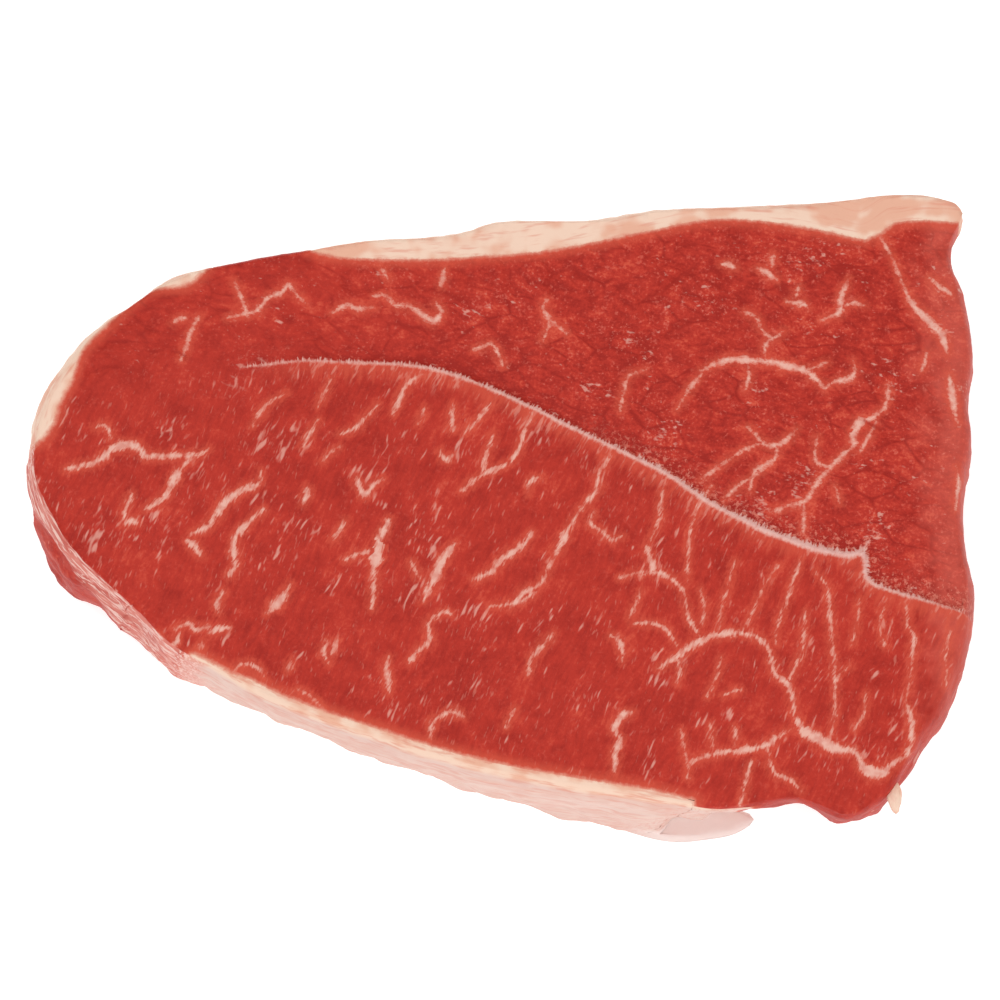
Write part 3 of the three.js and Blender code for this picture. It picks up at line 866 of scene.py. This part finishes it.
def scrap_of_fat():
    """A small tongue of fat, as an object of its own."""
    mesh = bmesh.new()
    bmesh.ops.create_icosphere(mesh, subdivisions=4, radius=1)
    for vertex in mesh.verts:
        out = -vertex.co.y  # 1 at the tip, -1 inside the lean
        free = max(out, 0)
        narrow = 1.0 - 0.35 * free
        wave = 0.35 * noise.noise(vertex.co * 2.2)
        vertex.co = Vector((
            SCRAP_X + vertex.co.x * HALF_WIDTH * narrow + 0.5 * out + wave,
            SCRAP_Y - out * HALF_LENGTH,
            SCRAP_Z + vertex.co.z * (HALF_HEIGHT - 0.5 * free) - DROOP * free**2 + wave,
        ))
    bmesh.ops.recalc_face_normals(mesh, faces=mesh.faces)
    places = [vertex.co.copy() for vertex in mesh.verts]
    bmesh.ops.scale(mesh, vec=(MM,) * 3, verts=mesh.verts)
    data = bpy.data.meshes.new("scrap-of-fat")
    mesh.to_mesh(data)
    mesh.free()
    data.shade_smooth()
    store(data, "fat_depth", [2 + place.z - 45 for place in places])
    for stored, value in SCRAP_STORES.items():
        store(data, stored, [value] * len(places))
    piece = bpy.data.objects.new("scrap-of-fat", data)
    bpy.context.scene.collection.objects.link(piece)
    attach(piece, "root")
    return piece


fats.append(scrap_of_fat())
print(f"the scrap has {len(fats[-1].data.polygons)} triangles")

# %% [markdown]
# ## Shader maths
#
# A material is easier to read as a formula. This small class wraps a socket, so
# that `1 - mask` or `edge + grain * 0.3` adds the Math nodes by itself.

# %% A socket that does maths
class Wire:
    """A socket of a material's nodes that adds Math nodes when it is reckoned with."""

    def __init__(self, socket):
        self.socket = socket

    @classmethod
    def node(cls, tree, kind, settings=None, values=None, output=0):
        """Adds a node: its settings first, then its sockets' values or links."""
        made = tree.nodes.new(kind)
        for name, value in (settings or {}).items():
            setattr(made, name, value)
        for name, value in (values or {}).items():
            if isinstance(value, Wire):
                tree.links.new(value.socket, made.inputs[name])
            else:
                made.inputs[name].default_value = value
        return cls(made.outputs[output])

    def math(self, operation, first, second=0.0):
        values = {0: first, 1: second}
        return Wire.node(self.socket.id_data, "ShaderNodeMath", {"operation": operation}, values)

    def __add__(self, other):
        return self.math("ADD", self, other)

    __radd__ = __add__

    def __sub__(self, other):
        return self.math("SUBTRACT", self, other)

    def __rsub__(self, other):
        return self.math("SUBTRACT", other, self)

    def __mul__(self, other):
        return self.math("MULTIPLY", self, other)

    __rmul__ = __mul__

    def rise(self, low, high):
        """0 below low, 1 above high, and smooth between."""
        return Wire.node(
            self.socket.id_data, "ShaderNodeMapRange", {"interpolation_type": "SMOOTHSTEP"},
            {"Value": self, "From Min": low, "From Max": high},
        )

    def fall(self, low, high):
        """1 below low, 0 above high, and smooth between."""
        return 1 - self.rise(low, high)


print("a wire adds, subtracts, multiplies, and rises or falls between two values")

# %% Patterns in millimetres
RADIUS = 115  # of a round thing as long round its side as the roast, about


class MeatShader:
    """A material's nodes, with the patterns that lean and fat both use."""

    def __init__(self, name):
        self.material = bpy.data.materials.new(name)
        self.material.use_nodes = True
        self.tree = self.material.node_tree
        self.surface = self.tree.nodes["Principled BSDF"]
        place = Wire.node(self.tree, "ShaderNodeTexCoord", output="Object")
        self.place = self.vector("SCALE", {0: place, "Scale": 1 / MM})
        self.across = self.separated(0)
        self.below = THICKNESS - self.separated(2)  # millimetres below the cut face

    def separated(self, axis):
        return Wire.node(self.tree, "ShaderNodeSeparateXYZ", {}, {0: self.place}, axis)

    def vector(self, operation, values):
        return Wire.node(self.tree, "ShaderNodeVectorMath", {"operation": operation}, values)

    def joined(self, x, y, z):
        return Wire.node(self.tree, "ShaderNodeCombineXYZ", {}, {0: x, 1: y, 2: z})

    def stored(self, name):
        return Wire.node(self.tree, "ShaderNodeAttribute", {"attribute_name": name}, output="Fac")

    def turned(self, degrees, stretch=1.0, place=None):
        """The place with the X axis turned by some degrees and squeezed along it."""
        turn = Wire.node(
            self.tree, "ShaderNodeMapping", {"vector_type": "POINT"},
            {"Vector": place or self.place, "Rotation": (0, 0, -math.radians(degrees))},
        )
        return self.vector("MULTIPLY", {0: turn, 1: (1 / stretch, 1, 1)})

    def bent(self, size, reach):
        """The place pushed about by some millimetres, so that straight grain bends."""
        push = Wire.node(self.tree, "ShaderNodeTexNoise", {}, {
            "Vector": self.place, "Scale": 1 / size, "Detail": 1.0,
        }, 1)
        centred = self.vector("SUBTRACT", {0: push, 1: (0.5, 0.5, 0.5)})
        scaled = self.vector("SCALE", {0: centred, "Scale": reach})
        return self.vector("ADD", {0: self.place, 1: scaled})

    def round_the_edge(self, stretch):
        """A place for patterns that run lengthwise round the sides of the roast."""
        flat = self.vector("MULTIPLY", {0: self.place, 1: (1, ROUNDNESS, 0)})
        ring = self.vector("NORMALIZE", {0: flat})
        ring = self.vector("SCALE", {0: ring, "Scale": RADIUS / stretch})
        return self.vector("ADD", {0: ring, 1: self.joined(0, 0, self.below)})

    def noise(self, place, size, detail=2.0, roughness=0.5, depth=None):
        """Noise from 0 to 1 whose features are about size millimetres across."""
        dimensions = "3D" if depth is None else "4D"
        values = {"Vector": place, "Scale": 1 / size, "Detail": detail, "Roughness": roughness}
        if depth is not None:
            values["W"] = depth * (1 / size)
        return Wire.node(self.tree, "ShaderNodeTexNoise", {"noise_dimensions": dimensions}, values)

    def cracks(self, place, size):
        """Millimetres to the nearest border between bundles some millimetres across."""
        values = {"Vector": place, "Scale": 1 / size}
        edge = Wire.node(self.tree, "ShaderNodeTexVoronoi", {"feature": "DISTANCE_TO_EDGE"}, values)
        return edge * size

    def near(self, x, y, reach):
        """1 around an upright line through a place, 0 beyond its reach."""
        flat = self.vector("MULTIPLY", {0: self.place, 1: (1, 1, 0)})
        values = {0: flat, 1: (x, y, 0)}
        away = Wire.node(self.tree, "ShaderNodeVectorMath", {"operation": "DISTANCE"}, values, 1)
        return away.fall(reach * 0.5, reach)

    def mix(self, share, first, second):
        """A colour between two, by a share from 0 to 1."""
        values = {0: share, 6: first, 7: second}
        return Wire.node(self.tree, "ShaderNodeMix", {"data_type": "RGBA"}, values, 2)

    def give(self, socket, wire):
        self.tree.links.new(wire.socket, self.surface.inputs[socket])

    def bump(self, height, distance, strength=1.0):
        self.give("Normal", Wire.node(self.tree, "ShaderNodeBump", {}, {
            "Height": height, "Distance": distance * MM, "Strength": strength,
        }))


print("patterns are given their sizes in millimetres")

# %% Colours as they look in the light
LIGHT_ON_FACE = 1.1  # how much light the studio lays on the cut face


def linear(part):
    """A share of red, green or blue as light, from how it is written for a screen."""
    return part / 12.92 if part <= 0.04045 else ((part + 0.055) / 1.055) ** 2.4


def colour(red, green, blue):
    """The paint that looks like this, from 0 to 255, on the lit cut face."""
    light = [linear(value / 255) for value in (red, green, blue)]
    return (*[min(part / LIGHT_ON_FACE, 1) for part in light], 1.0)


print(f"a place that has to look white is painted {colour(255, 255, 255)[0]:.2f}")

# %% [markdown]
# ## The meat
#
# One recipe colours lean and fat alike, so nothing changes where two pieces meet:
# the stored distance to the fat picks between them. It works like a painter, from
# the back to the front: the red lean and its grain with painted shade in its gaps
# and above the seam, the pale flecks between the fibres with painted shade in pits,
# the veins and the seam with painted shade in the creases, a film with a painted
# sheen on the lean's sides, then the fat with its flap painted paler as painted
# light, and last the membrane over both.

# %% The lean
DEEP_RED = colour(156, 28, 16)
RED = colour(190, 50, 35)
BRIGHT_RED = colour(214, 86, 62)
PALE_RED = colour(212, 100, 84)
CRUMB_RED = colour(226, 134, 114)
FIBRES_LOW = 64  # which way the lower muscle's fibres lean, in degrees
FIBRES_HIGH = -14
BUNDLE = 6.5  # how wide the upper muscle's bundles of fibres are
PALE_RIM = (112, 130)  # where along X the lean pales towards the wide end


def paint_lean(shader, upper, coarse, parted, seam_side):
    """The red of the two muscles, with grain, grit, and painted shade in bundle gaps and by the seam.
    """
    bent = shader.bent(14, 5)
    low = shader.turned(FIBRES_LOW, 4.5, bent)
    high = shader.turned(FIBRES_HIGH, 1.8, bent)
    patches = shader.noise(shader.place, 24, 1)
    blotches = shader.noise(bent, 6, 2, 0.6)
    grain_low = shader.noise(low, 1.3, 3, 0.6)
    grain_high = shader.noise(high, 2.2, 3, 0.65)
    grain = grain_low + (grain_high - grain_low) * upper
    grit = shader.noise(shader.place, 0.8, 2, 0.6)
    rough = shader.noise(shader.place, 12, 1).rise(0.42, 0.6)
    # painted shade: the upper muscle darkens in the gaps between its bundles of fibres
    gap_shade = (shader.cracks(high, BUNDLE) - (grit - 0.5) * 0.8).fall(0.0, 0.5)
    gap_shade = gap_shade * upper * (rough * 0.9 + 0.1) * (0.55 + coarse * 0.45)
    # painted shade: the upper muscle darkens in the dip just above the seam
    shade = seam_side.rise(0.0, 0.8) * seam_side.fall(1.5, 8) * parted
    tone = 0.64 + (patches - 0.5) * 0.5 + (blotches - 0.5) * 0.9
    tone = tone + (grain - 0.5) * (1.0 + upper * 0.3 + coarse * 0.5)
    tone = tone + (grit - 0.5) * (0.5 + coarse * 0.7) - shade * 0.3 - gap_shade * 0.5
    red = shader.mix(tone.rise(0.05, 1.0), DEEP_RED, RED)
    red = shader.mix((tone - 0.74).rise(0.0, 0.5) * 0.8, red, BRIGHT_RED)
    pale = (grit * 0.5 + shader.noise(bent, 2.4, 2, 0.6) * 0.5).rise(0.54, 0.68)
    red = shader.mix(pale * (coarse * 0.35 + 0.15), red, PALE_RED)
    rim = (shader.across + (blotches - 0.5) * 20).rise(*PALE_RIM)
    return shader.mix(rim * 0.45, red, PALE_RED), low, high, grain


print(f"the fibres of the two muscles lean {FIBRES_LOW} and {FIBRES_HIGH} degrees")

# %% The flecks between the fibres
VEIN_FAT = colour(232, 178, 162)
VEIN_PINK = colour(222, 138, 120)
SHADED_PITS = (120, 170)  # where along the seam the upper muscle gets painted shade in small pits
CRUMBLY = (150, 185)  # and pale crumbs


def paint_flecks(shader, red, upper, parted, low, high, seam_side, seam_along):
    """Short pale streaks, denser in clumps, the seam's crumbs and bristles, and painted shade in pits.
    """
    clumps = (shader.noise(shader.place, 13, 1) - 0.5) * 0.6
    long_low = (shader.noise(low, 1.3, 1, 0.5) + clumps).rise(0.68, 0.84)
    fine_low = (shader.noise(shader.turned(72, 3.5), 0.75, 1, 0.5) + clumps * 0.5).rise(0.64, 0.8)
    long_high = (shader.noise(high, 1.7, 2, 0.6) + clumps).rise(0.68, 0.82)
    fine_high = (shader.noise(shader.place, 0.8, 2, 0.65) + clumps * 0.5).rise(0.63, 0.78)
    long = long_low + (long_high - long_low) * upper
    fine = fine_low + (fine_high - fine_low) * upper
    red = shader.mix(fine * 0.34, red, VEIN_PINK)
    red = shader.mix(long * 0.55, red, VEIN_FAT)
    under = seam_side * -1
    bristles = shader.noise(shader.joined(seam_along, seam_side * 0.12, 0), 1.0, 1, 0.6) - 0.5
    glow = (under + bristles * 9).fall(0.5, 6.5) * under.rise(0, 0.5) * parted
    red = shader.mix(glow * 0.6, red, BRIGHT_RED)
    comb = shader.noise(shader.turned(60, 4.5), 1.2, 2, 0.65) + clumps * 0.6 - under * 0.015
    comb = comb.rise(0.5, 0.64) * under.rise(0, 0.4) * under.fall(2, 9) * parted
    red = shader.mix(comb * 0.6, red, VEIN_PINK)
    crumbs = (shader.noise(shader.place, 1.2, 3, 0.8) - seam_side * 0.018).rise(0.44, 0.56)
    crumbs = crumbs * seam_side.rise(0.2, 1.2) * seam_side.fall(5, 11) * seam_along.rise(*CRUMBLY)
    # painted shade in small pits above the seam, darkened with deep red
    pit_shade = (shader.noise(shader.place, 1.6, 2, 0.7) + seam_side * 0.02).fall(0.4, 0.5)
    pit_shade = pit_shade * seam_side.rise(0.4, 1.4) * seam_side.fall(6, 12) * seam_along.rise(*SHADED_PITS)
    red = shader.mix(pit_shade * 0.6, red, DEEP_RED)
    return shader.mix(crumbs * 0.55, red, CRUMB_RED)


print(f"crumbs show from {CRUMBLY[0]} mm along the seam")

# %% The veins, the seam and painted shade in the creases
SEAM_FAT = colour(222, 152, 138)
SEAM_SHINE = colour(232, 186, 176)


def paint_veins(shader, red, upper, low, high, seam_side, seam_along):
    """Pale veins whose ragged edges run out along the fibres, the bristly seam, painted crease shade.
    """
    feather_low = shader.noise(low, 0.65, 2, 0.6)
    feather_high = shader.noise(high, 0.9, 2, 0.7)
    feather = feather_low + (feather_high - feather_low) * upper - 0.5
    nibble = shader.noise(shader.place, 0.9, 2, 0.7) - 0.5
    width = shader.noise(shader.place, 4, 1) - 0.5
    edge = shader.stored("vein_edge") - feather * (2.8 - upper * 1.6)
    edge = edge - nibble * (0.7 + upper) - width * 1.3
    halo = (edge - nibble * 2).fall(0.1, 2.6)
    red = shader.mix(halo * 0.5, red, BRIGHT_RED)
    faint = shader.noise(shader.place, 2.5, 1, 0.6).rise(0.3, 0.6) * 0.4 + 0.55
    vein = edge.fall(-0.3, 0.4)
    vein_fat = shader.mix(edge.fall(-0.9, 0.0), VEIN_PINK, VEIN_FAT)
    red = shader.mix(vein * faint, red, vein_fat)
    bristle = shader.noise(shader.joined(seam_along, seam_side * 0.2, 0), 0.6, 1, 0.7) - 0.5
    above = seam_side.rise(-0.3, 0.8)
    seam_edge = shader.stored("seam_edge") - nibble * 0.9 - width * 0.7
    seam_edge = seam_edge - bristle * (above * 3.4 + 1.0)
    seam_line = seam_edge.fall(-0.4, 0.5)
    seam_fat = shader.mix(seam_edge.fall(-0.9, 0.1), SEAM_FAT, SEAM_SHINE)
    red = shader.mix(seam_line * (faint * 0.5 + 0.45), red, seam_fat)
    # painted shade: the creases are darkened where they sink
    crease = (shader.stored("crease_edge") - nibble).fall(-0.2, 0.6)
    return shader.mix(crease * 0.7, red, DEEP_RED)


print(f"veins are painted {[round(part, 2) for part in VEIN_FAT[:3]]}")

# %% The skins on the sides
SKIN = colour(222, 136, 122)
SKIN_PALE = colour(240, 198, 186)
NARROW_END = (-124, -94)  # where along X the membrane starts to reach down
DEEPEST = 34  # how much further it reaches down right of there


def paint_film_and_sheen(shader, red, streaks):
    """A thin film over all of the lean's sides: membrane colour with a painted sheen."""
    # the membrane's own paler colour, with a painted sheen on it
    film = shader.below.rise(0.8, 5.0) * streaks.rise(0.4, 0.7) * shader.below.fall(44, 52)
    return shader.mix(film * 0.3, red, PALE_RED)


def paint_membrane(shader, meat, streaks, skin_edge):
    """Silvery membrane, folded lengthwise, over the front of the narrow end."""
    depth = shader.below
    lines = shader.noise(shader.round_the_edge(9), 0.9, 2, 0.65, skin_edge)
    wisps = (streaks - 0.5) * 14
    reach = shader.across.rise(*NARROW_END) * DEEPEST  # deeper towards the front fat
    on_top = depth.fall(0.3, 1.2)
    band = (skin_edge + wisps + on_top * (6 - wisps * 0.6)).fall(-1, 5 - on_top * 4)
    band = band * (1 - on_top * 0.3)
    band = band * (depth + wisps - reach).fall(10, 18)
    meat = shader.mix(band * (streaks.rise(0.35, 0.6) * 0.45 + 0.35), meat, SKIN)
    return shader.mix(band * lines.rise(0.48, 0.6) * 0.9, meat, SKIN_PALE)


print(f"the membrane reaches {DEEPEST} mm further down near the front fat")

# %% The fat
CREAM_FAT = colour(240, 206, 184)
PEACH_FAT = colour(231, 176, 150)
ROSE_FAT = colour(220, 138, 116)
LILAC_SKIN = colour(218, 184, 178)
LIT_FLAP_SKIN = colour(246, 226, 220)
FLAP = (62, -84)  # the middle of the flap under the cut end of the front fat
FLAP_REACH = 30


def paint_fat(shader, streaks, fat_depth, front):
    """Firm cream fat with fine lengthwise streaks, skin over it at the front, and painted light on the
    flap.
    """
    fine = shader.noise(shader.round_the_edge(7), 1.2, 2, 0.6, fat_depth * 1.3)
    clouds = shader.noise(shader.place, 9, 2)
    fat = shader.mix(((clouds - 0.5) * 1.2 + streaks).rise(0.34, 0.62), PEACH_FAT, CREAM_FAT)
    fat = shader.mix(fine.rise(0.52, 0.7) * 0.5, fat, ROSE_FAT)
    low_lines = fine.rise(0.5, 0.62) * shader.below.rise(18, 34) * front
    fat = shader.mix(low_lines * 0.4, fat, ROSE_FAT)
    skin = front * shader.below.rise(1.0, 3.5) * (streaks * 0.6 + 0.4)
    fat = shader.mix(skin * 0.85, fat, LILAC_SKIN)
    fat = shader.mix(fine.rise(0.5, 0.6) * front * 0.3, fat, ROSE_FAT)
    # painted light: the flap's pale skin is painted paler still, as the roast shades it
    flap = shader.near(*FLAP, FLAP_REACH) * shader.below.rise(THICKNESS - 9, THICKNESS - 4)
    return shader.mix(flap * 0.9, fat, LIT_FLAP_SKIN)


print(f"the flap lies round {FLAP}")

# %% Where lean shows over the fat
LEFT_CAP = (-106, 50)  # the thin middle of the left fat
LEFT_TIP = (-104, -38)  # where the front fat runs out


def fat_cover(shader, ragged):
    """Millimetres by which the border of lean and fat is pushed, above 0 into the lean."""
    narrow_end = shader.across.fall(-76, -68)
    thin = narrow_end * (1.3 + shader.near(*LEFT_CAP, 22) * 2.6)
    tip = shader.near(*LEFT_TIP, 20) * 12
    on_top = shader.below.fall(0.1, 1.5)
    cut_end = shader.near(*FLAP, FLAP_REACH) * shader.below.rise(0.8, 2.5) * 16
    return cut_end + ragged * (on_top * 1.8 + tip * 0.5) - thin - tip


print(f"the lean covers the tip of the front fat round {LEFT_TIP}")

# %% Put the meat together
PARTING = (62, 90)  # where along the seam the two muscles part
COARSENING = (70, 140)  # where along it the upper muscle turns coarse
GLOSS = 0.18


def meat(name):
    """The one material that all pieces share."""
    shader = MeatShader(name)
    seam_side, seam_along = shader.stored("seam_side"), shader.stored("seam_along")
    parted = seam_along.rise(*PARTING)
    upper_soft = seam_side.rise(-14, 14)
    upper = upper_soft + (seam_side.rise(-0.5, 0.8) - upper_soft) * parted
    coarse = upper * seam_along.rise(*COARSENING)
    fat_depth = shader.stored("fat_depth")
    streaks = shader.noise(shader.round_the_edge(14), 2.6, 2, 0.6, fat_depth)
    red, low, high, grain = paint_lean(shader, upper, coarse, parted, seam_side)
    red = paint_flecks(shader, red, upper, parted, low, high, seam_side, seam_along)
    red = paint_veins(shader, red, upper, low, high, seam_side, seam_along)
    red = paint_film_and_sheen(shader, red, streaks)
    front = (seam_side * -1).rise(20, 30)
    fat = paint_fat(shader, streaks, fat_depth, front)
    ragged = shader.noise(shader.place, 1.8, 3, 0.7) - 0.5
    is_fat = fat_depth + fat_cover(shader, ragged)
    both = shader.mix(is_fat.rise(-4.0, -0.6) * 0.6, red, BRIGHT_RED)
    both = shader.mix(is_fat.rise(-1.1, 0.1), both, ROSE_FAT)
    both = shader.mix(is_fat.rise(-0.3, 0.7), both, fat)
    shader.give("Base Color", paint_membrane(shader, both, streaks, shader.stored("skin_edge")))
    shader.surface.inputs["Specular IOR Level"].default_value = GLOSS
    shader.give("Roughness", 0.42 + grain * 0.25)
    shader.bump(grain * (0.6 - fat_depth.rise(-0.5, 0.5) * 0.45), 0.4)
    return shader.material


meat_material = meat("marbled meat")
for piece in [lean, *fats]:
    piece.data.materials.append(meat_material)
print(f"the meat has {len(meat_material.node_tree.nodes)} nodes")

# %% [markdown]
# ## Floor and light
#
# A plain white floor and soft, even light from all round, as for a picture in a
# shop's catalogue. A key light above and behind shapes the relief, and a wider fill
# light in front keeps the near side bright.

# %% Floor
floor_mesh = bmesh.new()
bmesh.ops.create_grid(floor_mesh, x_segments=1, y_segments=1, size=3)
floor_data = bpy.data.meshes.new("floor")
floor_mesh.to_mesh(floor_data)
floor_mesh.free()
floor = bpy.data.objects.new("floor", floor_data)
bpy.context.scene.collection.objects.link(floor)
floor_paint = bpy.data.materials.new("white floor")
floor_paint.use_nodes = True
paint = floor_paint.node_tree.nodes["Principled BSDF"]
paint.inputs["Base Color"].default_value = (0.7, 0.7, 0.7, 1)
paint.inputs["Roughness"].default_value = 0.9
paint.inputs["Specular IOR Level"].default_value = 0.1
paint.inputs["Emission Color"].default_value = (1, 1, 1, 1)
paint.inputs["Emission Strength"].default_value = 0.6
floor_data.materials.append(floor_paint)
print("the floor is laid")

# %% Light
world = bpy.data.worlds.new("studio")
bpy.context.scene.world = world
world.use_nodes = True
world.node_tree.nodes["Background"].inputs["Color"].default_value = (1, 1, 1, 1)
world.node_tree.nodes["Background"].inputs["Strength"].default_value = 0.75


def soft_light(name, place, aim_at, size, power):
    """A square lamp, with its place and size in metres."""
    lamp = bpy.data.lights.new(name, "AREA")
    lamp.shape = "SQUARE"
    lamp.size = size
    lamp.energy = power
    holder = bpy.data.objects.new(name, lamp)
    bpy.context.scene.collection.objects.link(holder)
    holder.location = place
    holder.rotation_euler = (Vector(aim_at) - Vector(place)).to_track_quat("-Z", "Y").to_euler()


soft_light("key light", (-0.35, 0.4, 1.4), (0, 0, 0.03), 1.0, 4.5)
soft_light("fill light", (0.25, -0.9, 1.1), (0, 0, 0.02), 1.2, 7)
bpy.context.scene.view_settings.view_transform = "Standard"
print("the lights are set")
